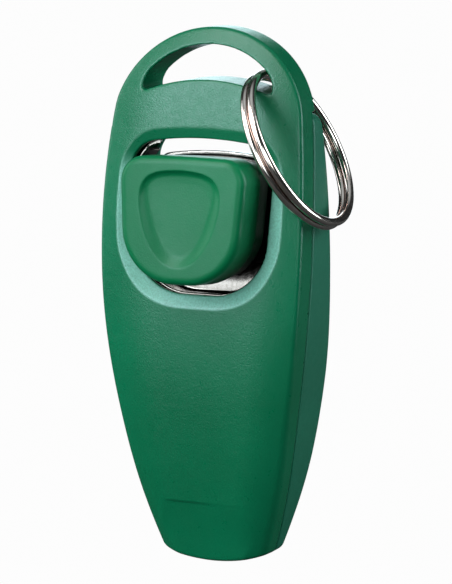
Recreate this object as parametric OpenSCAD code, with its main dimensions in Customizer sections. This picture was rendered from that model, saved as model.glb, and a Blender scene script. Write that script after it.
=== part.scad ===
// Pocket clicker trainer with a whistle mouthpiece and a lanyard loop.
// Long axis along +Z, button facing -Y, X across. Z = 0 is the tip of the
// mouthpiece, X = 0 the plane of symmetry. The shells part along a curve that
// meets Y = 0 at the tip and bows towards -Y above it.

/* [Body] */
// Overall height, mouthpiece tip to top of the loop
body_h = 75.4; // [75.2:0.1:76]
// Width at the widest point
body_w = 31; // [30.5:0.5:32]
// How far the crowned front stands in front of the parting line
front_d = 5; // [5:0.1:5.2]
// How far the front is bowed along its length
bow = 4.9; // [4.6:0.1:5.1]
// Depth of the flat on the belly behind Y = 0
belly_d = 5.7; // [5.6:0.05:5.8]
// Wall thickness of the moulded shells
wall = 1.6; // [1.5:0.05:1.7]

/* [Loop] */
// Radius of the domed top
dome_r = 14.8; // [14.7:0.1:15]
// Thickness of the loop bar in the front view
bar_t = 2.35; // [2.2:0.05:2.6]
// Half width of the lanyard slot
slot_hw = 10.1; // [10:0.1:10.4]
// How far the loop stands behind the parting line
loop_back = 1.5; // [1.3:0.1:1.7]

/* [Button] */
// Half width of the thumb button
btn_hw = 9.45; // [9.2:0.05:9.6]
// How far the button stands out of the front face
btn_proud = 5; // [4.5:0.1:5.3]
// Depth of the thumb dish
dish_d = 0.9; // [0.7:0.1:1]
// Width of the bevel around the button opening
bevel = 1.5; // [1.3:0.1:1.6]

/* [Clicker] */
// Thickness of the spring steel
steel_t = 0.35; // [0.3:0.05:0.35]
// Height of the flexure line above the mouthpiece tip
flex_z = 42.8; // [42.6:0.1:43]

/* [Split ring] */
// Outside diameter of the ring
ring_d = 24; // [23.8:0.1:24.4]
// Diameter of the ring wire
wire_d = 1.24; // [1.1:0.02:1.26]
// Angle of the hanging ring below the horizontal
ring_a = 62; // [60:1:64]
// Place of the ring along the depth of the body
ring_y = -3.5; // [-3.7:0.1:-3.3]

/* [Hidden] */
$fn = 48;
shell_green = [0.05, 0.47, 0.34];
cap_green = [0.12, 0.50, 0.35];
steel = [0.78, 0.76, 0.74];

sliver = 0.01;                    // thickness of the slices that hulls join
gap = 0.02;                       // hairline between touching pieces
fit = 0.05;                       // clearance of sockets and seats
reach = 20;                       // half size of cutters that clear the body

// Outline of the body
wide_z = 47;                      // height of the widest point
curl = 0.0036;                    // how fast the sides draw in
mid_z = 38;                       // height where the bow is deepest
dome_z = 61.2;                    // centre of the dome
dome_h = body_h - dome_z;         // the dome is a little flattened
tip_r = 16;                       // radius of the mouthpiece end
split_z = 64;                     // top of the back shell
chamber_z = 15.5;                 // lower end of the front hollow
slot_floor_z = 68.2;              // middle of the slot's arched floor
slot_floor_r = 26;

// Clicker, in its own frame
btn_z = 48;                       // where the frame touches the front face
tilt = atan(2*bow*(btn_z - mid_z)/pow(mid_z, 2));
press_z = 49;                     // height of the rivets and the dimple
rivet_x = 4.7;
leaf_y = 1;                       // front face of the spring steel
leaf_back = leaf_y + steel_t;
rim_y = -2.75;                    // front face of the tray rim
cap_y = -front_d - btn_proud;     // front of the thumb button
dish_r = 26;
dimple_r = 7.2;
dimple_h = 0.6;
screw_x = 3.5;
screw_z = 34.9;
screw_head_h = 1.1;

// Pegs that join the shells: [x, z, diameter], mirrored in X
pegs = [[9.2, 63, 2.1], [11, 37.4, 2.1], [6.95, 6, 1.5]];
boss_peg = pegs[1];               // the pair that stands in bosses
boss_r = 2;

// Windway
block_w = 10;
channel_w = 8.8;
lip_flat_w = 10;

// Bulkhead plate
plate_hw = 13.4;
plate_y = [-8.5, 4.5];            // front and back edge
plate_z = 30;
plate_t = 1.4;

// Split ring
coil_r = (ring_d - wire_d)/2;
hang = [7.2, ring_y, 68.95];      // where the wire passes through the slot

// Back of the belly: [z, y], for a belly_d of belly_line_d
belly_line_d = 5.7;
belly_line = [[0, 2.2], [3, 2.85], [6, 3.5], [9, 4.2], [12, 4.85], [15, 5.35],
              [19, 5.75], [23, 5.9], [27, 5.9], [31, 5.6], [35, 5.1], [40, 4.5],
              [47, 3.7], [54, 3.05], [60, 2.4], [62, 1.9], [63.2, 1], [64, -0.9]];

// Stations along Z: parting line, outside of the front, hollow of the belly
part_z = concat([for (i = [0:16]) i*split_z/16], [68, 72, 77]);
front_z = concat([0.02, 0.15, 0.5, 0.82, 1.1, 2.2, 4.22, 6, 8.02],
                 [for (z = [12:4:60]) z],
                 [for (a = [8, 18, 28, 38, 48, 58, 66, 72, 77, 81, 84.5, 87.5])
                     dome_z + dome_h*sin(a)]);
belly_hollow_z = [15.4, 19, 23, 27, 31, 35, 40, 47, 54, 59, 61];

// Cross-sections of the front: [inwards, forwards of the parting line]
front_rows = [[0, 0], [0, front_d - 1.7], [0.2, front_d - 1.15],
              [0.8, front_d - 0.85], [4.2, front_d - 0.3], [8, front_d]];
hollow_rows = [[wall, -2], [wall, front_d - 2.6],
               [5.6, front_d - wall - 0.3], [9, front_d - wall]];
loop_rows = [[1.5, -loop_back], [0.45, -loop_back*0.6], [0, -loop_back*0.15], [0, 0.5]];

// Side views: [y, z]
channel_yz = [[-0.75, -1], [0.3, -1], [0.9, 0.9], [3.75, 15.6], [2.6, 15.6], [-0.3, 0.9]];
pocket_yz = [[-3.15, 0.9], [-5.5, 15.6], [3.75, 15.6], [0.9, 0.9]];
block_yz = [[-3.1, 0.96], [-5.44, 15.5], [2.64, 15.5], [-0.24, 0.96]];
window_yz = [[2.6, 15.6], [8, 15.6], [8, 27], [5.9, 26.2], [3.6, 19.2], [2.6, 19.2]];
lip_shift = front_d - 5;          // the flat is drawn for a front_d of 5
lip_flat_yz = [[-4.6 - lip_shift, -0.2], [-6.77 - lip_shift, 8.6], [-7.3, 9.1],
               [-12, 9.1], [-12, -0.2]];

// --- Curves of the body ---

// forward bow of the front face and the parting line at height z
function bulge(z) = bow*(1 - pow((z - mid_z)/mid_z, 2));
// parting line, straight between its stations
function part_y(z) = -lookup(z, [for (q = part_z) [q, bulge(q)]]);
function belly_y(z) = lookup(z, belly_line) + (belly_d - belly_line_d);
function half_width(z, inset = 0) = min(
    body_w/2 - curl*pow(z - wide_z, 2) - inset,
    z > dome_z
        ? (dome_r - inset)*sqrt(max(0, 1 - pow((z - dome_z)/(dome_h - inset), 2)))
        : 99,
    z < tip_r ? sqrt(max(0, pow(tip_r - inset, 2) - pow(tip_r - z, 2))) : 99);

// --- Outlines ---

function arc(cx, cz, r, a0 = 0, a1, n) =
    [for (i = [0:n]) let (a = a0 + (a1 - a0)*i/n) [cx + r*cos(a), cz + r*sin(a)]];
// right half of an outline, any middle points, then the left half
function mirrored(right, middle = []) =
    concat(right, middle, [for (i = [len(right) - 1:-1:0]) [-right[i][0], right[i][1]]]);

// contour of the button opening, grown outwards
function opening(grow, top = 59.9) =
    mirrored(concat(arc(cx = 2.2, cz = 46, r = 8.2 + grow, a0 = -90, a1 = 0, n = 12),
                    arc(cx = 6.9, cz = top - 4.6, r = 4.1 + grow, a1 = 78, n = 8)),
             [[0, top + grow]]);
function leaf_outline(grow = 0) = opening(grow - 1.3, 59.4);
function button_outline(grow) =
    mirrored(concat(arc(cx = 2, cz = 46.6, r = 7 + grow, a0 = -90, a1 = 0, n = 10),
                    arc(cx = btn_hw - 3.7, cz = 53.8, r = 3.7 + grow, a1 = 84, n = 8)));

// --- Building helpers ---

// a drawing in the XZ plane with depth from y0 to y1
module slab(y0, y1) {
    translate([0, y1, 0]) rotate([90, 0, 0]) linear_extrude(y1 - y0) children();
}
module sheet(y) {
    slab(y, y + sliver) children();
}
// a drawing in the XY plane as a thin slice at height z
module slice(z) {
    translate([0, 0, z]) linear_extrude(sliver) children();
}
// a side view [y, z], w wide about X = 0
module rib(w, points) {
    rotate([90, 0, 90]) linear_extrude(w, center = true) polygon(points);
}
// a pair of round bars along Y, mirrored in X
module bar_pair(x, z, r, y0, y1) {
    for (side = [-1, 1])
        translate([side*x, y1, z]) rotate([90, 0, 0]) cylinder(r = r, h = y1 - y0);
}
// flat rectangle centred across
module band(half_w, low, high) {
    translate([-half_w, low]) square([2*half_w, high - low]);
}
// the clicker's own frame, on the leaning front face at the button
module at_button() {
    translate([0, -bulge(btn_z), btn_z]) rotate([-tilt, 0, 0])
        translate([0, 0, -btn_z]) children();
}

// --- Front shell ---

module front_loft(stations, rows) {
    hull() for (z = stations)
        slice(z) polygon(mirrored(
            [for (row = rows) if (z > row[0] && z < body_h - row[0])
                [half_width(z, row[0]), -bulge(z) - row[1]]]));
}
module front_hollow() {
    intersection() {
        front_loft([for (i = [0:15]) 15 + 47*i/15], hollow_rows);
        translate([-reach, -reach, chamber_z]) cube([2*reach, 2*reach, 45.8]);
    }
}
module loop_form() {
    front_loft(concat([split_z + 0.05], [for (z = front_z) if (z > split_z + 0.5) z]),
               loop_rows);
}
// everything behind the parting line, moved back by shift
module behind(shift) {
    rib(60, concat([[part_y(0) + shift, -3]], [for (z = part_z) [part_y(z) + shift, z]],
                   [[part_y(77) + shift, 90], [40, 90], [40, -3]]));
}
module lanyard_slot() {
    offset(r = 0.9) offset(delta = -0.9)
    intersection() {
        difference() {
            translate([0, dome_z]) scale([1, (dome_h - bar_t)/(dome_r - bar_t)])
                circle(r = dome_r - bar_t, $fn = 96);
            translate([0, slot_floor_z - slot_floor_r])
                circle(r = slot_floor_r, $fn = 160);
        }
        band(slot_hw, 60, 80);
    }
}
// opening with its bevel, and the seat of the tray rim behind it
module button_opening() {
    at_button() slab(-front_d - 2, 2) polygon(opening(0));
    at_button() slab(rim_y - fit, 2) polygon(opening(0.95));
    hull() at_button() {
        sheet(-3.95 - sliver) polygon(opening(0));
        sheet(-front_d - 0.3) polygon(opening(bevel + 1.4));
    }
}
module sockets() {
    for (p = pegs)
        bar_pair(p[0], p[1], p[2]/2 + fit, part_y(p[1]) - 3, part_y(p[1]) + 1);
    at_button() bar_pair(screw_x, screw_z, 0.72, -3.4, 2);
}
// pocket in both shells for the windway block
module block_pocket() {
    rib(block_w + 2*fit, pocket_yz);
}
// air channel from the tip to the window
module windway() {
    rib(channel_w, channel_yz);
}

module front_shell() {
    color(shell_green) difference() {
        union() {
            difference() {
                front_loft(front_z, front_rows);
                behind(-gap);
                front_hollow();
            }
            loop_form();
            // bosses for one pair of pegs and for the tray screws
            bar_pair(boss_peg[0], boss_peg[1], boss_r,
                     part_y(boss_peg[1]) - 3.6, part_y(boss_peg[1]));
            at_button() bar_pair(screw_x, screw_z, 1.9, -3.9, leaf_y - gap);
        }
        slab(-12, 4) lanyard_slot();
        button_opening();
        sockets();
        block_pocket();
        windway();
        bulkhead_plate(fit);
        // flat for the lips on the mouthpiece
        rib(lip_flat_w, lip_flat_yz);
    }
}

// --- Back shell ---

// cross-section of the belly at height z, from its front face to its rounded back
module belly_cut(z, inset, front) {
    side = half_width(z, inset);
    rear = belly_y(z) - inset;
    corner_r = min(2.6, (rear - front)*0.5, side*0.5 + 0.01);
    corner_x = side - corner_r - 0.03*(rear - front);
    polygon(mirrored(concat([[side, front]],
        arc(cx = corner_x, cz = rear - corner_r, r = corner_r, a1 = 90, n = 6))));
}
module belly_form() {
    stations = concat([0.02, 0.15, 0.5, 1.1, 2.2, 3.2, 6.4],
                      [for (z = part_z) if (z > 0 && z < split_z) z],
                      [62, 63, 63.6, split_z - sliver]);
    hull() for (z = stations) slice(z) belly_cut(z, 0, part_y(z));
}
module belly_hollow() {
    hull() for (z = belly_hollow_z) slice(z) belly_cut(z, wall, part_y(z) - 1.5);
}

module back_shell() {
    color(shell_green) difference() {
        union() {
            difference() {
                // the belly ends in a flat
                intersection() {
                    belly_form();
                    translate([-reach, -reach, -1]) cube([2*reach, reach + belly_d, 70]);
                }
                // hollow, less the peg bosses
                difference() {
                    belly_hollow();
                    bar_pair(boss_peg[0], boss_peg[1], boss_r, -reach, reach);
                }
            }
            for (p = pegs)
                bar_pair(p[0], p[1], p[2]/2, part_y(p[1]) - 2.6, part_y(p[1]) + 0.5);
        }
        // opening behind the clicker
        at_button() slab(-1, 20) polygon(opening(-1, 61));
        block_pocket();
        windway();
        // sounding window with its sloped blade
        rib(channel_w, window_yz);
        bulkhead_plate(fit);
    }
}

// --- Inner parts of the whistle ---

module windway_block() {
    color(shell_green) rib(block_w, block_yz);
}

// plate with cut corners that closes the sounding chamber, grown all round
module bulkhead_plate(grow = 0) {
    front = plate_y[0] - grow;
    rear = plate_y[1] + grow;
    translate([0, 0, plate_z - grow]) linear_extrude(plate_t + 2*grow) difference() {
        band(plate_hw + grow, front, rear);
        for (side = [-1, 1], y = [front, rear])
            translate([side*(plate_hw + grow), y]) rotate(45)
                square([2.6, 2.6], center = true);
    }
}
module chamber_bulkhead() {
    color(shell_green) bulkhead_plate();
}

// --- Thumb button ---

module thumb_button() {
    // rounded front edge: [behind the front, grow]
    edge = [[1.3, -0.15], [0.45, -0.6], [0, -1.5]];
    color(cap_green) difference() {
        union() {
            difference() {
                hull() {
                    sheet(-0.6 - sliver) polygon(button_outline(0));
                    for (row = edge) sheet(cap_y + row[0]) polygon(button_outline(row[1]));
                }
                // hollow underside
                slab(cap_y + 2.3, 0) polygon(button_outline(-1.7));
            }
            // pedestals on the leaf
            bar_pair(rivet_x, press_z, 2, cap_y + 2, leaf_y - gap);
        }
        // thumb dish
        translate([0, cap_y + dish_d - dish_r, 49.3]) sphere(r = dish_r, $fn = 160);
        // rivet holes
        bar_pair(rivet_x, press_z, 0.8, -5, 2);
    }
}
// shanks, then heads
module button_rivets() {
    color(steel) {
        bar_pair(rivet_x, press_z, 0.75, -4.6, leaf_back + 0.1);
        bar_pair(rivet_x, press_z, 1.4, leaf_back + gap, leaf_back + 0.6);
    }
}

// --- Spring steel ---

// cap of a ball standing dimple_h behind y, kept from start backwards
module dimple(y, start) {
    translate([0, y, press_z]) intersection() {
        translate([0, dimple_h - dimple_r, 0]) sphere(r = dimple_r);
        translate([-10, start, -10]) cube(20);
    }
}
module click_leaf() {
    color(steel) difference() {
        union() {
            slab(leaf_y, leaf_back) intersection() {
                polygon(leaf_outline());
                band(reach, flex_z, flex_z + 40);
            }
            // stiffening lip along the free end
            slab(leaf_y, leaf_y + 3.2) difference() {
                polygon(leaf_outline());
                polygon(leaf_outline(-steel_t));
                band(reach, 0, 56.6);
            }
            // back of the click dimple
            dimple(leaf_back, 0);
        }
        dimple(leaf_y, -sliver);
        bar_pair(rivet_x, press_z, 0.85, 0, 3);
    }
}

// static half of the spring pressing: rim, side walls and root
module spring_tray() {
    root_z = 33;
    color(steel) difference() {
        union() {
            // rim behind the face, with ears at the upper corners
            slab(rim_y, rim_y + steel_t) difference() {
                polygon(opening(0.9));
                difference() {
                    polygon(opening(-0.6));
                    for (side = [-1, 1])
                        polygon([[side*8.5, 57.4], [side*6.4, 60.6],
                                 [side*12, 60.6], [side*12, 57.4]]);
                }
                band(5.7, 54, 64);
            }
            // side walls
            slab(rim_y, leaf_back) difference() {
                polygon(opening(-0.25));
                polygon(opening(-0.25 - steel_t));
                band(9.2, 54, 64);
            }
            // root plate with the screw lug
            slab(leaf_y, leaf_back) intersection() {
                union() {
                    polygon(opening(-0.3));
                    band(6.2, root_z, 41);
                }
                band(reach, root_z, flex_z - 0.1);
            }
        }
        bar_pair(screw_x, screw_z, 0.95, 0, 3);
    }
}
module tray_screws() {
    head_y = leaf_back + screw_head_h;
    color(steel) difference() {
        union() {
            bar_pair(screw_x, screw_z, 0.68, -3.2, leaf_back + 0.1);
            bar_pair(screw_x, screw_z, 1.55, leaf_back + gap, head_y);
        }
        // cross recess
        for (side = [-1, 1], a = [0, 90])
            translate([side*screw_x, head_y, screw_z])
                rotate([0, a, 0]) cube([1.7, 0.9, 0.4], center = true);
    }
}

// --- Split ring: two coils pressed slightly into each other ---

module split_ring() {
    color(steel) translate(hang) rotate([0, ring_a, 0]) translate([coil_r, 0, 0])
        rotate_extrude($fn = 96) for (side = [-1, 1])
            translate([coil_r, side*(wire_d/2 - 0.04)]) circle(d = wire_d, $fn = 24);
}

front_shell();
back_shell();
at_button() thumb_button();
at_button() button_rivets();
at_button() click_leaf();
at_button() spring_tray();
at_button() tray_screws();
windway_block();
chamber_bulkhead();
split_ring();
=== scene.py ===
# Clicker trainer with a whistle mouthpiece, as a visual model around the CAD frame.
# It stands upright: mouthpiece at z = 0, lanyard loop on top, button facing -Y, back at +Y.
# Shapes are in millimetres; moulded and stamped pieces are distance fields (negative inside)
# turned into quad meshes. The lights, camera and materials are in metres.
import bpy
import math
import numpy as np
from functools import reduce
from itertools import product
from mathutils import Matrix, Vector
from numpy import float32


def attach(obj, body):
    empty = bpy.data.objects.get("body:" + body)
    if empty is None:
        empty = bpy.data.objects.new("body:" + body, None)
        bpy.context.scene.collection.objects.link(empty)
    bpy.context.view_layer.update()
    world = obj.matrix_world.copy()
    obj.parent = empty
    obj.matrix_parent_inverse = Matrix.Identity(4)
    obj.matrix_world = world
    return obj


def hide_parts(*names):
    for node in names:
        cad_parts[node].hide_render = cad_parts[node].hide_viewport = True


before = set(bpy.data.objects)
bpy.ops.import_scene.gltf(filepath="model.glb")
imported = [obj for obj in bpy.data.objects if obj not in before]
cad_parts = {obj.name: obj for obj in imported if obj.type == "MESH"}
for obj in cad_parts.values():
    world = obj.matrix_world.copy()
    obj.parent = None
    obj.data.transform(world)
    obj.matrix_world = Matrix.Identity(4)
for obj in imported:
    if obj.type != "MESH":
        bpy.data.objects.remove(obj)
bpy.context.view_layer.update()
MM = 0.001                                # metres in a millimetre

# ---------------------------------------------------------------- dimensions
MID_Z, BOW = 38.0, 4.9                    # the parting line bows to -Y, most at MID_Z
WIDTH, WIDEST_Z, TAPER = 31.0, 47.0, 0.0036
DOME_Z, DOME_HALF, DOME_HEIGHT = 61.2, 14.8, 14.2
TIP_RADIUS, WALL = 24.0, 1.6
SPLIT_Z = 64.02                           # above this the front casing is the loop alone
BUTTON_Z = 48.0                           # the button leans with the bow at this height
TILT = math.atan(2 * BOW * (BUTTON_Z - MID_Z) / MID_Z ** 2)
TILT_COS, TILT_SIN = math.cos(TILT), math.sin(TILT)
BELLY_Y = 5.7                             # rearmost plane of the back casing
AIR_HALF, AIR_START_Z, AIR_END_Z = 4.4, 0.9, 15.6    # windway
# mirrored pairs of round features: x to either side, and z
CASE_BOSS, SCREW_AT, RIVET_AT = (11.0, 37.4), (3.5, 34.9), (4.7, 49.0)
CAP_HALF, CAP_FRONT, CAP_REAR = 9.7, -10.0, -0.6
CAP_SHIFT = 0.3                           # the cap sits this far to -X in its gap
RIM_Y, RIM_SHEET = -2.75, 0.36
PLATE_Y, PLATE_SHEET = 1.0, 0.35          # root plate and snap leaf


# ---------------------------------------------------------------- field tools
def soft_max(a, b, blend):
    h = np.maximum(blend - np.abs(a - b), 0)
    return np.maximum(a, b) + h * h * (0.25 / blend)


def soft_min(a, b, blend):
    return -soft_max(-a, -b, blend)


def common(*shapes):
    return reduce(np.maximum, shapes)


def cut(body, hole):
    return np.maximum(body, -hole)


def soft_cut(body, hole, blend):
    return soft_max(body, -hole, blend)


def step(start, end, value):
    """Smooth step from 0 at start to 1 at end."""
    t = np.clip((value - start) / (end - start), 0, 1)
    return t * t * (3 - 2 * t)


def rods(x, z, place, radius):
    """Mirrored pair of round rods running front to back."""
    return np.hypot(np.abs(x) - place[0], z - place[1]) - radius


def bulge(z):
    return BOW * (1 - ((z - MID_Z) / MID_Z) ** 2)


def lean(y, z):
    """The clicker's own leaning frame: depth and height."""
    dy, dz = y + bulge(BUTTON_Z), z - BUTTON_Z
    return dy * TILT_COS - dz * TILT_SIN, BUTTON_Z + dy * TILT_SIN + dz * TILT_COS


# ---------------------------------------------------------------- 2D outlines
def arc(center_x, center_z, radius, start, end, count):
    angles = np.radians(np.linspace(start, end, count + 1))
    return [(center_x + radius * math.cos(t), center_z + radius * math.sin(t)) for t in angles]


def both(right):
    """Close a right half by mirroring it."""
    return right + [(-x, z) for x, z in reversed(right) if abs(x) > 1e-6]


class Outline:
    """Signed distance to a closed polygon, tabulated on a fine grid."""

    def __init__(self, points, area, spacing=0.1):
        start = np.array(points, float)
        end = np.roll(start, -1, axis=0)
        low, high = area
        X, Z = np.meshgrid(*[np.arange(low[i], high[i] + spacing, spacing) for i in (0, 1)],
                           indexing="ij")
        nearest = np.full(X.shape, 1e9)
        inside = np.zeros(X.shape, bool)
        for (ax, az), (bx, bz) in zip(start, end):
            dx, dz = bx - ax, bz - az
            t = np.clip(((X - ax) * dx + (Z - az) * dz) / (dx * dx + dz * dz), 0, 1)
            nearest = np.minimum(nearest, (X - ax - t * dx) ** 2 + (Z - az - t * dz) ** 2)
            if az != bz:
                spans = (az > Z) != (bz > Z)
                inside ^= spans & (X < dx * (Z - az) / (bz - az) + ax)
        distance = np.sqrt(nearest)
        distance[inside] *= -1
        self.table, self.low, self.spacing = distance.astype(float32), low, spacing

    def __call__(self, x, z):
        table = self.table
        u = np.clip((x - self.low[0]) / self.spacing, 0, table.shape[0] - 1.001)
        v = np.clip((z - self.low[1]) / self.spacing, 0, table.shape[1] - 1.001)
        i, j = u.astype(np.int32), v.astype(np.int32)
        a, b = (u - i).astype(float32), (v - j).astype(float32)
        return ((1 - a) * ((1 - b) * table[i, j] + b * table[i, j + 1])
                + a * ((1 - b) * table[i + 1, j] + b * table[i + 1, j + 1]))


def opening(margin=0.0, top=59.9):
    """Button opening: round below, small corners above and a low arch across the top."""
    right = arc(2.2, 46, 8.2 + margin, -90, 0, 30) + arc(6.9, top - 4.6, 4.1 + margin, 0, 80, 20)
    end_x, end_z = right[-1]
    peak = top + margin
    radius = (end_x * end_x + (peak - end_z) ** 2) / (2 * (peak - end_z))
    for i in range(1, 13):
        x = end_x * (1 - i / 12)
        right.append((x, peak - radius + math.sqrt(radius * radius - x ** 2)))
    return both(right)


def cap_outline():
    right = arc(1.15, 47.75, 8.1, -90, -4, 30) + arc(CAP_HALF - 3.5, 53.95, 3.5, 0, 84, 20)
    end_x, end_z = right[-1]
    right += [(end_x * (1 - i / 12), end_z + 0.16 * (1 - (1 - i / 12) ** 2))
              for i in range(1, 13)]
    return both(right)


# thumb dish, a rounded triangle: (x, z) stations up the right half, plus one past each end
DISH_STATIONS = [
    (-1.7, 42.3), (0, 41.9), (1.7, 42.3), (3.1, 43.3), (4.25, 44.7), (5.25, 46.5), (6.0, 48.8),
    (6.35, 51.0), (6.15, 52.9), (5.25, 54.4), (3.7, 55.2), (1.9, 55.5), (0, 55.6), (-1.9, 55.5)]


def dish_outline():
    """Fair curve through the stations, eight points to a span."""
    right = []
    for i in range(1, len(DISH_STATIONS) - 2):
        p0, p1, p2, p3 = [np.array(q, float) for q in DISH_STATIONS[i - 1:i + 3]]
        for k in range(8):
            t = k / 8
            q = 0.5 * (2 * p1 + (p2 - p0) * t + (2 * p0 - 5 * p1 + 4 * p2 - p3) * t * t
                       + (3 * p1 - p0 - 3 * p2 + p3) * t ** 3)
            right.append((float(q[0]), float(q[1])))
    right.append(DISH_STATIONS[-2])
    return both(right)


# tabulated areas: (x, z) of the low and high corners
OPENING_AREA = ((-21, 24), (21, 74))
CAP_AREA = ((-14, 34), (14, 63))
OPENING = Outline(opening(), OPENING_AREA)
BACK_OPENING = Outline(opening(-1.0, 61), OPENING_AREA)
LEAF = Outline(opening(-1.3, 59.4), OPENING_AREA)
CAP = Outline(cap_outline(), CAP_AREA)
DISH = Outline(dish_outline(), CAP_AREA)


# ---------------------------------------------------------------- casing shape
def half_width(z):
    flare = 0.28 * np.exp(-((z - 10.0) / 9.0) ** 2)
    return WIDTH / 2 - TAPER * (z - WIDEST_Z) ** 2 + flare


def casing_outline(x, z):
    """Distances to the sides with the dome, and to the round tip."""
    slope = 2 * TAPER * (z - WIDEST_Z)
    side = (np.abs(x) - half_width(z)) / np.sqrt(1 + slope * slope)
    ellipse = np.hypot(x / DOME_HALF, (z - DOME_Z) / DOME_HEIGHT)
    dome = np.where(z > DOME_Z, (ellipse - 1) * DOME_HEIGHT * 1.02, -9.0)
    tip = np.where(z < 9.0, np.hypot(x, z - TIP_RADIUS) - TIP_RADIUS, -9.0)
    return soft_max(side, dome, 0.25), tip


def crown(edge, z):
    """The front is flat along the middle and falls off to the edges, more so low down."""
    low = step(40.0, 6.0, z)
    fall_width = 9.0 - 3.2 * low
    t = np.clip(1 + edge / fall_width, 0, 1)
    return 5.08 - (1.15 + 0.75 * low) * t ** 2.2


# (z, y) up the middle of the back surface
BACK_STATIONS = [
    (-2, 1.7), (0, 2.2), (3, 2.85), (6, 3.5), (9, 4.2), (12, 4.85), (15, 5.35), (19, 5.75),
    (23, 5.9), (27, 5.9), (31, 5.6), (35, 5.1), (40, 4.5), (47, 3.7), (54, 3.05), (60, 2.5),
    (64, 2.15), (68, 1.9)]
BACK_Z = np.linspace(-2, 68, 701)
BACK_Y = np.interp(BACK_Z, *np.array(BACK_STATIONS, float).T)
for _ in range(60):                       # round the table into a fair curve
    BACK_Y[1:-1] = 0.25 * BACK_Y[:-2] + 0.5 * BACK_Y[1:-1] + 0.25 * BACK_Y[2:]


def windway_rear(z):
    return 0.9 + (z - AIR_START_Z) * 0.1939


def windway(x, y, z):
    front = -0.3 + (z - AIR_START_Z) * 0.1973
    return common(np.abs(x) - AIR_HALF, y - windway_rear(z), front - y, z - AIR_END_Z)


def pocket(x, y, z):
    """Wedge-shaped space in the mouthpiece, in front of the windway's rear wall."""
    front = -3.15 - (z - AIR_START_Z) * 0.16
    return common(np.abs(x) - 5.05, y - windway_rear(z), front - y,
                  AIR_START_Z - z, z - AIR_END_Z)


def bevel_slope(height):
    """Spread of the opening's bevel for each millimetre forward."""
    return 2.65 + 0.65 * step(41.0, 47.0, height) - 0.3 * step(56.5, 60.5, height)


def bevel_outline(x, height):
    """The opening with its lower part moved up a little."""
    raised = height - 0.4 * step(47.0, 39.0, height)
    return OPENING(x.astype(float32), raised.astype(float32))


def bevel_reach(depth):
    """How far in front of the bevel's inner edge a depth lies."""
    return -3.95 - depth


# ---------------------------------------------------------------- piece fields
def front_field(x, y, z):
    side, tip = casing_outline(x, z)
    edge = soft_max(side, tip, 0.6)
    ahead = -(y + bulge(z))               # in front of the parting line
    front = crown(side, z)
    face = ahead - front
    # flat across the mouthpiece, falling away towards the sides and deeper above 8.6 mm
    beside = np.maximum(np.abs(x) - 4.7, 0)
    lip = ((4.6 + 0.2640 * z - bulge(z))
           - (0.08 * beside + 0.055 * beside * beside) * step(8.7, 2.5, z)
           + 0.9 * np.maximum(z - 8.6, 0)
           + 0.16 * step(-2.5, 3.2, x) * step(2.0, 8.6, z))
    lip = np.where(z < 14, lip, 9.0)
    rounding = 0.55 + 0.35 * step(44.0, 4.0, z)
    body = soft_max(side, soft_max(face, (ahead - lip) * 0.93, 0.06), rounding)
    body = soft_max(body, tip, 0.5)
    body = soft_cut(body, ahead - 0.07, 0.30)
    hollow = common(edge + WALL, ahead - (front - WALL), 15.5 - z, z - 61.3)
    body = cut(body, hollow)
    # bosses inside, the lower pair bored for the tray screws
    depth, height = lean(y, z)
    boss = common(rods(x, z, CASE_BOSS, 2.0), ahead - 4.0, -ahead + 0.05)
    body = np.minimum(body, boss)
    boss = common(rods(x, height, SCREW_AT, 1.9), depth - 0.98, -3.9 - depth)
    body = np.minimum(body, cut(boss, rods(x, height, SCREW_AT, 0.74)))
    # lanyard loop at full depth above the split
    loop = soft_max(soft_max(edge, face, 0.5), -ahead - 1.5, 1.6)
    body = np.minimum(body, np.maximum(loop, SPLIT_Z + 0.03 - z))
    # lanyard slot: an ellipse over a round sill, blunt at the ends, drafted towards the back
    ellipse = np.hypot(x / 12.45, (z - DOME_Z) / 11.85)
    slot = soft_max((ellipse - 1) * 12.0, 26.0 - np.hypot(x, z - 42.2), 0.8)
    slot = soft_max(slot, np.abs(x) - 10.1, 1.2) + 0.020 * (4.6 - ahead)
    body = soft_cut(body, slot, 0.26)
    # bevelled button opening, and the wider step behind it that takes the spring rim
    reach = np.clip(bevel_reach(depth), 0, 3)
    slope = bevel_slope(height)
    bevel = (bevel_outline(x, height) - slope * reach) / np.sqrt(1 + slope * slope * (reach > 0))
    body = soft_cut(body, np.where(depth < 1.5, bevel, 9.0), 0.09)
    body = cut(body, common(OPENING(x, height) - 0.95, -2.8 - depth, depth - 1.5))
    body = cut(body, pocket(x, y, z))
    return soft_cut(body, windway(x, y, z), 0.12)


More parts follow.
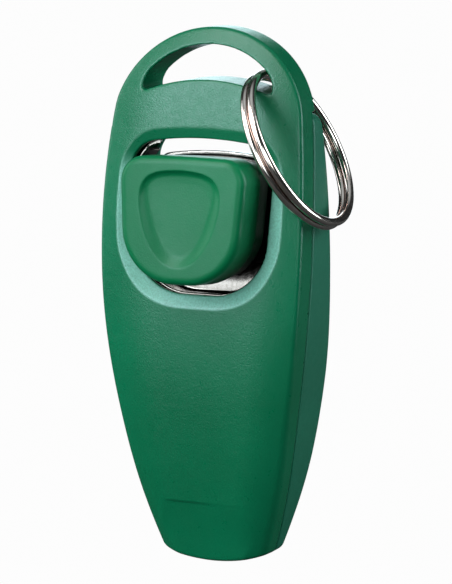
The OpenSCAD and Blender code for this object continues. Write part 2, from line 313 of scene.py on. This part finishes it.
def back_field(x, y, z):
    edge = soft_max(*casing_outline(x, z), 0.6)
    behind = y + bulge(z)                 # behind the parting line
    back = np.interp(z, BACK_Z, BACK_Y).astype(float32)
    rounding = np.interp(z, [0, 5, 12, 20, 30, 40], [0.8, 1.1, 1.7, 2.2, 2.7, 3.1])
    body = soft_max(edge + 0.045 * behind, y - back, rounding.astype(float32))
    body = soft_max(body, z - 64.0, 2.2)
    body = soft_max(body, 0.2 * (y - 0.4) - z, 0.8)
    body = soft_max(body, y - BELLY_Y, 0.5)
    body = soft_max(body, 0.07 - behind, 0.36)
    hollow = common(edge + WALL, y - (back - WALL), 15.4 - z, z - 61.5)
    body = cut(body, hollow)
    boss = common(rods(x, z, CASE_BOSS, 2.0), 0.05 - behind, y - back + 0.8)
    body = np.minimum(body, boss)
    # opening behind the leaf, flared to the back and at the top
    depth, height = lean(y, z)
    flare = (0.28 * np.clip(depth - 4.6, 0, 3)
             + 1.3 * step(52.5, 57.5, height) * step(0.0, 3.0, depth))
    hole = np.where(depth > -1.5, BACK_OPENING(x, height) - flare, 9.0)
    body = soft_cut(body, hole, 0.7)
    body = cut(body, pocket(x, y, z))
    body = soft_cut(body, windway(x, y, z), 0.12)
    # sounding window: square mouth and sloped blade
    blade = (z - 19.3) * 0.32 - (y - 3.7) * 0.95
    window = common(np.abs(x) - AIR_HALF, AIR_END_Z - z, 2.6 - y, blade)
    return soft_cut(body, window, 0.3)


def button_field(x, y, z):
    depth, height = lean(y, z)
    cap_x = x + CAP_SHIFT
    plan = CAP(cap_x, height)
    # drafted sides, stepped in at the rear
    side = plan + 0.015 * np.clip(CAP_REAR - depth, 0, 10) + 0.55 * step(-4.6, -3.4, depth)
    # thumb dish: its wall is steep above and shallow below, with a shallow bowl in the floor
    dish_edge = DISH(cap_x + 0.15, height)
    rise = step(48.0, 55.5, height)
    wall_width = 2.1 - 1.2 * rise
    bowl = np.clip(1 - (cap_x / 7.0) ** 2 - ((height - 48.8) / 7.6) ** 2, 0, 1)
    t = np.clip(-dish_edge / wall_width, 0, 1)
    dish = ((0.50 + 0.20 * rise) * (1 - (1 - t) ** 2)
            + 0.26 * bowl * step(0.0, -2.0, dish_edge))
    doming = 0.0032 * (cap_x * cap_x + 0.6 * (height - 48.5) ** 2)
    body = soft_max(side, (CAP_FRONT + doming) - depth, 1.15)
    body = soft_max(body, (CAP_FRONT + dish) - depth, 0.10)
    body = soft_max(body, depth - CAP_REAR, 0.4)
    body = cut(body, common(plan + 1.7, CAP_FRONT + 2.5 - depth, depth - 0.6))
    # rivet posts and their bores
    post = common(rods(x, height, RIVET_AT, 2.0), depth - 0.98, CAP_FRONT + 2.2 - depth)
    body = np.minimum(body, post)
    return cut(body, np.maximum(rods(x, height, RIVET_AT, 0.8), -5.0 - depth))


def leaf_field(x, y, z):
    depth, height = lean(y, z)
    half = PLATE_SHEET / 2
    edge = LEAF(x, height)
    # click dimple pushed towards the back, with a coined ring around it
    radius = np.hypot(x, height - RIVET_AT[1])
    dimple = 0.6 * step(3.0, 0.6, radius) - 0.10 * np.exp(-((radius - 3.5) / 0.45) ** 2)
    sheet = np.abs(depth - (PLATE_Y + half) - dimple) - half
    sheet = common(sheet, edge, 42.88 - height)
    # upper end turned back into a lip
    lip = common(np.abs(edge + half) - half, PLATE_Y - depth, depth - 4.1, 56.6 - height)
    return cut(soft_min(sheet, lip, 0.35), rods(x, height, RIVET_AT, 0.85))


def tray_field(x, y, z):
    depth, height = lean(y, z)
    half = RIM_SHEET / 2
    edge = OPENING(x, height)
    beside = np.abs(x)
    # side walls, open across the top
    wall = common(np.abs(edge + 0.25 + half) - half, RIM_Y - depth, depth - 1.36,
                  np.minimum(9.2 - beside, height - 54.0))
    rim = common(edge - 0.9, -(edge + 0.5), np.minimum(7.0 - beside, height - 54.0),
                 np.abs(depth - RIM_Y - half) - half)
    # root plate and screw lug
    lug = common(beside - 6.2, 33.0 - height, height - 41.0)
    half_plate = PLATE_SHEET / 2
    root = common(np.minimum(edge + 0.3, lug), height - 42.78,
                  np.abs(depth - PLATE_Y - half_plate) - half_plate)
    # stepped strip behind the root plate's upper edge, so no light comes through there
    strip = np.minimum(np.maximum(np.abs(depth - 1.69) - 0.16, height - 43.35),
                       np.maximum(np.abs(depth - 1.42) - 0.42, height - 42.35))
    strip = common(strip, edge + 0.85, 41.75 - height)
    tray = np.minimum(soft_min(soft_min(wall, rim, 0.3), root, 0.3), strip)
    return cut(tray, rods(x, height, SCREW_AT, 0.95))


# ---------------------------------------------------------------- surface net
SLAB = 24                                 # grid layers sampled at a time, to save memory


def sample(field, low, high, spacing):
    counts = [int(math.ceil((high[i] - low[i]) / spacing)) + 1 for i in range(3)]
    xs, ys, zs = [(low[i] + spacing * np.arange(counts[i])).astype(float32) for i in range(3)]
    values = np.empty(counts, float32)
    for k in range(0, counts[2], SLAB):
        values[:, :, k:k + SLAB] = field(*np.meshgrid(xs, ys, zs[k:k + SLAB], indexing="ij"))
    values[values == 0] = 1e-6
    return values


def cell_points(values, low, spacing):
    """One point in each cell the surface crosses, and the table of point numbers."""
    solid = values < 0
    shape = [n - 1 for n in values.shape]
    count = np.zeros(shape, np.int8)
    for i, j, k in product((0, 1), repeat=3):
        count += solid[i:i + shape[0], j:j + shape[1], k:k + shape[2]]
    crossed = (count > 0) & (count < 8)
    cells = np.argwhere(crossed)
    index = np.full(shape, -1, np.int32)
    index[crossed] = np.arange(len(cells))
    total = np.zeros((len(cells), 3))
    hits = np.zeros(len(cells))
    for axis in range(3):
        sides = [b for b in range(3) if b != axis]
        for corner in product((0, 1), repeat=2):
            start = np.zeros(3, int)
            start[sides] = corner
            end = start.copy()
            end[axis] = 1
            first = values[tuple((cells + start).T)]
            second = values[tuple((cells + end).T)]
            crosses = (first < 0) != (second < 0)
            place = np.repeat(start[None, :].astype(float), len(cells), 0)
            place[:, axis] += np.where(crosses, first / np.where(crosses, first - second, 1), 0)
            total[crosses] += place[crosses]
            hits[crosses] += 1
    return np.array(low) + spacing * (cells + total / hits[:, None]), index


def cell_quads(solid, index):
    """A quad around every grid edge that goes through the surface."""
    quads = []
    for axis in range(3):
        sides = [(axis + 1) % 3, (axis + 2) % 3]
        near = [slice(1, n - 1) for n in solid.shape]
        far = list(near)
        near[axis], far[axis] = slice(0, -1), slice(1, None)
        start, end = solid[tuple(near)], solid[tuple(far)]
        for turn, edges in ((1, start & ~end), (-1, ~start & end)):
            corner = np.argwhere(edges)
            corner[:, sides] += 1
            around = []
            for offset in ((-1, -1), (0, -1), (0, 0), (-1, 0)):
                cell = corner.copy()
                cell[:, sides] += offset
                around.append(index[tuple(cell.T)])
            quads.append(np.stack(around, 1)[:, ::turn])
    return np.concatenate(quads)


def project(field, points, spacing):
    """Move points onto the true surface in two short steps along the gradient."""
    def value(p):
        return field(*[p[:, i].astype(float32) for i in range(3)]).astype(float)

    probe = 0.25 * spacing
    for _ in range(2):
        distance = value(points)
        gradient = np.empty_like(points)
        for axis in range(3):
            shift = np.zeros(3)
            shift[axis] = probe
            gradient[:, axis] = (value(points + shift) - value(points - shift)) / (2 * probe)
        steepness = np.maximum((gradient * gradient).sum(1), 0.15)
        move = -(distance / steepness)[:, None] * gradient
        length = np.linalg.norm(move, axis=1)
        move *= np.minimum(1, 0.35 * spacing / np.maximum(length, 1e-9))[:, None]
        points = points + move
    return points


def link_object(name, mesh):
    ob = bpy.data.objects.new(name, mesh)
    bpy.context.scene.collection.objects.link(ob)
    return ob


def net(name, field, low, high, spacing, relax=2):
    values = sample(field, low, high, spacing)
    points, index = cell_points(values, low, spacing)
    quads = cell_quads(values < 0, index)
    # even the net out, putting every point back on the surface each time
    edges = np.concatenate([quads[:, [i, (i + 1) % 4]] for i in range(4)])
    neighbours = np.bincount(edges.ravel(), minlength=len(points)).astype(float)
    start, end = edges.T
    points = project(field, points, spacing)
    for _ in range(relax):
        mean = np.stack([(np.bincount(start, points[end, a], len(points))
                          + np.bincount(end, points[start, a], len(points))) / neighbours
                         for a in range(3)], 1)
        points = project(field, 0.5 * points + 0.5 * mean, spacing)
    mesh = bpy.data.meshes.new(name)
    mesh.vertices.add(len(points))
    mesh.vertices.foreach_set("co", (points * MM).astype(float32).ravel())
    mesh.loops.add(quads.size)
    mesh.loops.foreach_set("vertex_index", quads.astype(np.int32).ravel())
    mesh.polygons.add(len(quads))
    mesh.polygons.foreach_set("loop_start", np.arange(0, quads.size, 4, dtype=np.int32))
    mesh.polygons.foreach_set("use_smooth", np.ones(len(quads), bool))
    mesh.update(calc_edges=True)
    mesh.validate()
    return link_object(name, mesh)


# ---------------------------------------------------------------- node tools
def add_node(tree, kind, inputs, **settings):
    """New shader node; an input given as a socket is linked, any other is set."""
    node = tree.nodes.new("ShaderNode" + kind)
    for key, value in settings.items():
        setattr(node, key, value)
    for key, value in inputs.items():
        if isinstance(value, bpy.types.NodeSocket):
            tree.links.new(value, node.inputs[key])
        else:
            node.inputs[key].default_value = value
    return node


def math_node(tree, operation, *values, clamp=False):
    inputs = dict(enumerate(values))
    return add_node(tree, "Math", inputs, operation=operation, use_clamp=clamp).outputs[0]


def mix_color(tree, factor, first, second):
    inputs = {0: factor, 6: first, 7: second}
    return add_node(tree, "Mix", inputs, data_type="RGBA").outputs[2]


def new_material(name):
    """Material with a Principled shader; also gives its tree and object coordinates."""
    material = bpy.data.materials.new(name)
    material.use_nodes = True
    tree = material.node_tree
    tree.nodes.clear()
    output = add_node(tree, "OutputMaterial", {})
    shader = add_node(tree, "BsdfPrincipled", {})
    tree.links.new(shader.outputs[0], output.inputs[0])
    return material, tree, shader, add_node(tree, "TexCoord", {}).outputs["Object"]


def noise(tree, vector, scale, detail=2.0, roughness=0.5, stretch=None):
    if stretch:
        vector = add_node(tree, "Mapping", {0: vector, "Scale": stretch}).outputs[0]
    return add_node(tree, "TexNoise", {"Scale": scale, "Detail": detail, "Roughness": roughness,
                                       "Vector": vector}).outputs[0]


def ramp(tree, source, *stops):
    """Colour ramp through (position, colour) stops."""
    node = add_node(tree, "ValToRGB", {0: source})
    for element, (position, color) in zip(node.color_ramp.elements, stops):
        element.position = position
        element.color = (*color, 1)
    return node.outputs[0]


def bump(tree, height, strength, distance, **more):
    inputs = {"Height": height, "Strength": strength, "Distance": distance, **more}
    return add_node(tree, "Bump", inputs).outputs[0]


def scaled(color, factor):
    return tuple(c * factor for c in color)


def paint_gap_shade(tree, color, dark, distance, power):
    """Painted shade: colour that goes dark in deep gaps."""
    ao = add_node(tree, "AmbientOcclusion", {"Distance": distance}, samples=8)
    light = math_node(tree, "POWER", ao.outputs["AO"], power)
    light = math_node(tree, "MULTIPLY", light, 1.35, clamp=True)
    return mix_color(tree, light, (*dark, 1), color)


# ---------------------------------------------------------------- materials
def plastic(name, dark, light, rough, grain, specular=0.5, gap=0.0022, painted_sheen=None):
    """Grained plastic; gap is the reach of the painted shade in deep gaps, painted_sheen a paler
    colour painted by the point attribute of that name as a painted sheen of light."""
    material, tree, shader, position = new_material(name)
    fine = noise(tree, position, 4200, roughness=0.6)
    medium = noise(tree, position, 900, detail=3.0, roughness=0.6)
    broad = noise(tree, position, 60)
    mottle = math_node(tree, "MULTIPLY_ADD", fine, 0.35, broad)
    color = ramp(tree, mottle, (0.35, dark), (0.95, light))
    if painted_sheen:
        painted = add_node(tree, "Attribute", {}, attribute_name="painted_sheen").outputs["Fac"]
        speckle = ramp(tree, fine, (0.3, scaled(painted_sheen, 0.82)), (0.7, scaled(painted_sheen, 1.18)))
        color = mix_color(tree, painted, color, speckle)
    # painted shade: the plastic goes dark in deep gaps
    color = paint_gap_shade(tree, color, scaled(dark, 0.10), distance=gap, power=1.0)
    roughness = ramp(tree, medium, (0.3, (rough - 0.04,) * 3), (0.7, (rough + 0.05,) * 3))
    relief = bump(tree, fine, strength=grain, distance=0.00004)
    relief = bump(tree, medium, strength=grain * 0.5, distance=0.00005, Normal=relief)
    tree.links.new(color, shader.inputs["Base Color"])
    tree.links.new(roughness, shader.inputs["Roughness"])
    tree.links.new(relief, shader.inputs["Normal"])
    shader.inputs["IOR"].default_value = 1.5
    shader.inputs["Specular IOR Level"].default_value = specular
    return material


def metal(name, base, rough, streak=None, wear=0.25, gap=0.003):
    """Clouded metal; streak stretches the fine noise, wear is the strength of its relief."""
    material, tree, shader, position = new_material(name)
    shader.inputs["Metallic"].default_value = 1.0
    cloud = noise(tree, position, 240, detail=3.0, roughness=0.6)
    fine = noise(tree, position, 2500, detail=3.0, roughness=0.6, stretch=streak)
    color = ramp(tree, cloud, (0.3, scaled(base, 0.86)), (0.62, base))
    # painted shade: the metal goes near black in deep gaps
    color = paint_gap_shade(tree, color, (0.035, 0.024, 0.018), distance=gap, power=1.6)
    roughness = ramp(tree, fine, (0.35, (rough,) * 3), (0.75, (rough + 0.12,) * 3))
    relief = bump(tree, fine, strength=wear, distance=0.000012)
    tree.links.new(color, shader.inputs["Base Color"])
    tree.links.new(roughness, shader.inputs["Roughness"])
    tree.links.new(relief, shader.inputs["Normal"])
    return material


# painted_sheen: the paler colour painted on the opening's bevel as a sheen of light
shell_green = plastic("shell_green", dark=(0.0, 0.094, 0.036), light=(0.0002, 0.128, 0.053),
                      rough=0.31, grain=0.8, specular=0.36, gap=0.0018,
                      painted_sheen=(0.150, 0.335, 0.255))
# painted reflection: a greyer, paler green than the front casing, standing in for the paler
# reflection on the back casing's sides
rear_green = plastic("rear_green", dark=(0.005, 0.098, 0.050), light=(0.009, 0.134, 0.070),
                     rough=0.46, grain=0.35, specular=0.40)
# painted shade: the long gap reach darkens the cap's deep side walls towards black
button_green = plastic("button_green", dark=(0.0, 0.104, 0.034), light=(0.001, 0.138, 0.048),
                       rough=0.36, grain=0.5, specular=0.24, gap=0.0055)
inner_green = plastic("inner_green", dark=(0.001, 0.080, 0.040), light=(0.003, 0.12, 0.062),
                      rough=0.5, grain=0.15)
# painted shade: the long gap reach darkens the tray walls and the steel deep in the opening
spring_steel = metal("spring_steel", base=(0.70, 0.55, 0.51), rough=0.13,
                     streak=(1, 1, 0.08), wear=0.2, gap=0.0055)
ring_nickel = metal("ring_nickel", base=(1.0, 0.76, 0.68), rough=0.10, wear=0.15, gap=0.0004)
screw_steel = metal("screw_steel", base=(0.58, 0.48, 0.45), rough=0.24)


# ---------------------------------------------------------------- pieces
def dress(ob, material):
    ob.data.materials.clear()
    ob.data.materials.append(material)


def install(ob, material, replaced, mover):
    dress(ob, material)
    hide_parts(replaced)
    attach(ob, mover)


def paint_bevel_sheen(ob):
    """Point attribute "painted_sheen": 1 in a narrow band along the bevel of the button opening,
    a painted sheen where the bevel catches the light.
    """
    co = np.empty(len(ob.data.vertices) * 3)
    ob.data.vertices.foreach_get("co", co)
    x, y, z = co.reshape(-1, 3).T * 1000
    depth, height = lean(y, z)
    reach = bevel_reach(depth)
    bevel = bevel_outline(x, height) - bevel_slope(height) * reach
    # painted sheen: the band fades out at the top, where the bevel faces down and catches no
    # light
    painted_sheen = (step(0.34, 0.02, np.abs(bevel)) * step(-0.05, 0.10, reach) * (reach < 1.4)
            * step(58.0, 54.0, height))
    layer = ob.data.attributes.new("painted_sheen", "FLOAT", "POINT")
    layer.data.foreach_set("value", painted_sheen.astype(float32))


CASING_SPACING = 0.21
front = net("front_casing", front_field, (-16.2, -10.6, -0.6), (16.2, 2.0, 76.6),
            CASING_SPACING)
paint_bevel_sheen(front)
install(front, shell_green, "front_shell", "housing")
rear = net("rear_casing", back_field, (-16.2, -5.6, -0.6), (16.2, 6.3, 64.6), CASING_SPACING)
install(rear, rear_green, "back_shell", "housing")
cap = net("button_cap", button_field, (-10.2, -15.6, 37.6), (10.2, -2.4, 59.2),
          0.17)
install(cap, button_green, "thumb_button", "button")
leaf = net("snap_leaf", leaf_field, (-10.4, -4.6, 42.2), (10.4, -0.2, 59.6), 0.14, relax=1)
install(leaf, spring_steel, "click_leaf", "button")
tray = net("spring_rim", tray_field, (-12.8, -8.8, 32.4), (12.8, -1.6, 61.6), 0.15, relax=1)
install(tray, spring_steel, "spring_tray", "housing")

RING_TOP = np.array([7.2, -3.5, 68.95])   # where the ring's centre line starts its drop
RING_DROP = math.radians(62)              # below level, towards +X
RING_RADIUS, WIRE_RADIUS = 11.38, 0.61
RING_CUT = math.radians(140)              # the cut ends are on the rear side
RING_GAP, RING_LAP = math.radians(13), math.radians(30)
RING_STEPS, WIRE_SIDES = 460, 28


def split_ring():
    """One wire wound twice, stepping over itself, with cut ends."""
    down = np.array([math.cos(RING_DROP), 0, -math.sin(RING_DROP)])
    rearward = np.array([0.0, 1.0, 0.0])
    normal = np.cross(down, rearward)
    center = RING_TOP + down * RING_RADIUS
    start, end = RING_GAP * 0.5, 4 * math.pi - RING_GAP * 0.5
    verts, faces = [], []
    for i in range(RING_STEPS + 1):
        turn = start + (end - start) * i / RING_STEPS
        t = min(max((turn - (2 * math.pi - RING_LAP / 2)) / RING_LAP, 0), 1)
        t = t * t * (3 - 2 * t)
        offset = (-1 + 2 * t) * (WIRE_RADIUS - 0.035)
        angle = RING_CUT + turn
        outward = down * math.cos(angle) + rearward * math.sin(angle)
        middle = center + outward * RING_RADIUS + normal * offset
        # the last two sections at each cut end are smaller, to round it
        radius = WIRE_RADIUS * {0: 0.80, 1: 0.93}.get(min(i, RING_STEPS - i), 1.0)
        for j in range(WIRE_SIDES):
            b = 2 * math.pi * j / WIRE_SIDES
            # slightly flattened where the coils touch
            flat = radius * (1 - 0.03 * abs(math.sin(b)) ** 3)
            point = middle + outward * flat * math.cos(b) + normal * flat * math.sin(b)
            verts.append(tuple(point * MM))
    for i in range(RING_STEPS):
        here, following = i * WIRE_SIDES, (i + 1) * WIRE_SIDES
        for j in range(WIRE_SIDES):
            k = (j + 1) % WIRE_SIDES
            faces.append((here + j, here + k, following + k, following + j))
    faces.append(tuple(range(WIRE_SIDES))[::-1])
    faces.append(tuple(RING_STEPS * WIRE_SIDES + j for j in range(WIRE_SIDES)))
    mesh = bpy.data.meshes.new("key_ring")
    mesh.from_pydata(verts, [], faces)
    mesh.update()
    mesh.polygons.foreach_set("use_smooth", [True] * len(mesh.polygons))
    return link_object("key_ring", mesh)


install(split_ring(), ring_nickel, "split_ring", "ring")

for node, material in (("button_rivets", screw_steel), ("tray_screws", screw_steel),
                       ("windway_block", inner_green), ("chamber_bulkhead", inner_green)):
    dress(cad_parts[node], material)

# ---------------------------------------------------------------- stage
scene = bpy.context.scene
CAMERA_HEADING, CAMERA_HEIGHT, CAMERA_ROLL = 26.11, 7.66, 0.279    # degrees
CAMERA_DISTANCE, CAMERA_TARGET = 0.4683, (0, 0, 0.038)
WHITE = (0.98, 0.98, 0.98, 1)


def direction(heading, height):
    """Unit vector at a heading from the front (-Y) towards +X and a height, in radians."""
    return Vector((math.sin(heading) * math.cos(height), -math.cos(heading) * math.cos(height),
                   math.sin(height)))


def add_camera():
    heading, roll = math.radians(CAMERA_HEADING), math.radians(CAMERA_ROLL)
    back = direction(heading, math.radians(CAMERA_HEIGHT))
    right = Vector((math.cos(heading), math.sin(heading), 0))
    up = back.cross(right)
    rolled_right = right * math.cos(roll) + up * math.sin(roll)
    rolled_up = -right * math.sin(roll) + up * math.cos(roll)
    data = bpy.data.cameras.new("camera")
    camera = link_object("camera", data)
    turn = Matrix((rolled_right, rolled_up, back)).transposed().to_4x4()
    place = Vector(CAMERA_TARGET) + back * CAMERA_DISTANCE
    camera.matrix_world = Matrix.Translation(place) @ turn
    data.sensor_fit = "VERTICAL"
    data.sensor_height = 36
    data.lens = 204.589726
    data.shift_x = -0.00077054795
    data.shift_y = -0.0021917808
    data.clip_start = 0.01
    scene.camera = camera


def seen_white(tree, shader, white, output):
    """Show the camera white, and everything else the given shader."""
    path = add_node(tree, "LightPath", {})
    mix = add_node(tree, "MixShader", {0: path.outputs["Is Camera Ray"], 1: shader.outputs[0],
                                       2: white.outputs[0]})
    tree.links.new(mix.outputs[0], output.inputs[0])


def add_floor():
    """Pale plate square to the camera: white to it, dim in reflections."""
    heading = math.radians(CAMERA_HEADING)
    verts = [(side * math.cos(heading) - away * math.sin(heading),
              side * math.sin(heading) + away * math.cos(heading), -0.012)
             for side in (-0.45, 0.45) for away in (-0.16, 0.1, 0.4)]
    mesh = bpy.data.meshes.new("floor")
    mesh.from_pydata(verts, [], [(0, 3, 4, 1), (1, 4, 5, 2)])
    mesh.update()
    mesh.polygons.foreach_set("use_smooth", [True] * len(mesh.polygons))
    floor = link_object("floor", mesh)
    material, tree, shader, position = new_material("floor_white")
    color = ramp(tree, noise(tree, position, 40), (0.3, (0.020,) * 3), (0.7, (0.028,) * 3))
    tree.links.new(color, shader.inputs["Base Color"])
    shader.inputs["Roughness"].default_value = 0.9
    white = add_node(tree, "Emission", {0: WHITE})
    seen_white(tree, shader, white, tree.nodes["Material Output"])
    mesh.materials.append(material)


# soft rectangles of light, in degrees:
# heading, half width, low and high edge, level, softness across and up
PANELS = [
    (-23, 8, -14, 12, 6.4, 5, 7),         # low end of the front strip
    (-27, 11, 11, 34, 14.0, 5, 4),        # front strip
    (-26, 14, 42, 56, 6.0, 8, 5),         # its top, for the upward bevels
    (24, 10, 2, 24, 6.5, 5, 4),           # softbox beside the camera
    (116, 12, -16, 44, 7.5, 5, 8),        # strip on the right, a little behind
    (-78, 15, -14, 44, 2.0, 6, 8),        # soft wall on the left
    (-154, 9, -24, 30, 3.2, 6, 8)]        # white sheet behind
ROOM_LEVEL, CEILING_LEVEL = 0.02, 0.5
DAYLIGHT = (0.76, 1.0, 1.07)              # cool tint of the room's light


def add_world():
    """A dark room with soft panels, white where the camera sees it."""
    world = bpy.data.worlds.new("studio")
    scene.world = world
    world.use_nodes = True
    tree = world.node_tree
    tree.nodes.clear()
    output = add_node(tree, "OutputWorld", {})
    room = add_node(tree, "Background", {})
    white = add_node(tree, "Background", {0: WHITE})
    coords = add_node(tree, "TexCoord", {})
    x, y, z = add_node(tree, "SeparateXYZ", {0: coords.outputs["Generated"]}).outputs

    def calc(operation, *values):
        return math_node(tree, operation, *values)

    def fade(value, start, end):
        """Smooth step from 0 at start to 1 at end."""
        span = (start, end, 0.0, 1.0) if start < end else (end, start, 1.0, 0.0)
        return add_node(tree, "MapRange", {0: value, **dict(enumerate(span, 1))},
                        interpolation_type="SMOOTHSTEP").outputs[0]

    heading = calc("MULTIPLY", calc("ARCTAN2", x, calc("MULTIPLY", y, -1.0)), 180 / math.pi)
    height = calc("MULTIPLY", calc("ARCSINE", z), 180 / math.pi)

    def panel(middle, half, low, high, level, soft, soft_up):
        off = calc("SUBTRACT", heading, middle)
        off = calc("ABSOLUTE", calc("WRAP", off, 180.0, -180.0))
        light = calc("MULTIPLY", fade(off, half + soft, half - soft),
                     calc("MULTIPLY", fade(height, low - soft_up, low + soft_up),
                          fade(height, high + soft_up, high - soft_up)))
        return calc("MULTIPLY", light, level)

    total = calc("ADD", ROOM_LEVEL, calc("MULTIPLY", fade(height, 50.0, 78.0), CEILING_LEVEL))
    for light in [panel(*row) for row in PANELS]:
        total = calc("ADD", total, light)
    channels = {i: calc("MULTIPLY", total, share) for i, share in enumerate(DAYLIGHT)}
    tint = add_node(tree, "CombineColor", channels)
    tree.links.new(tint.outputs[0], room.inputs[0])
    seen_white(tree, room, white, output)


def add_softbox(name, heading, height, distance, width, tall, power):
    light = bpy.data.lights.new(name, "AREA")
    light.energy = power
    light.shape = "RECTANGLE"
    light.size = width
    light.size_y = tall
    ob = link_object(name, light)
    toward = direction(math.radians(heading), math.radians(height))
    ob.location = Vector((0, -0.003, 0.04)) + toward * distance
    ob.rotation_euler = (-toward).to_track_quat("-Z", "Y").to_euler()


add_camera()
add_floor()
add_world()
add_softbox("key_high", heading=-24, height=52, distance=0.8, width=0.45, tall=0.40, power=2.6)
add_softbox("fill_left", heading=-75, height=20, distance=0.9, width=0.35, tall=0.5, power=0.8)
scene.view_settings.view_transform = "Standard"
scene.view_settings.look = "None"
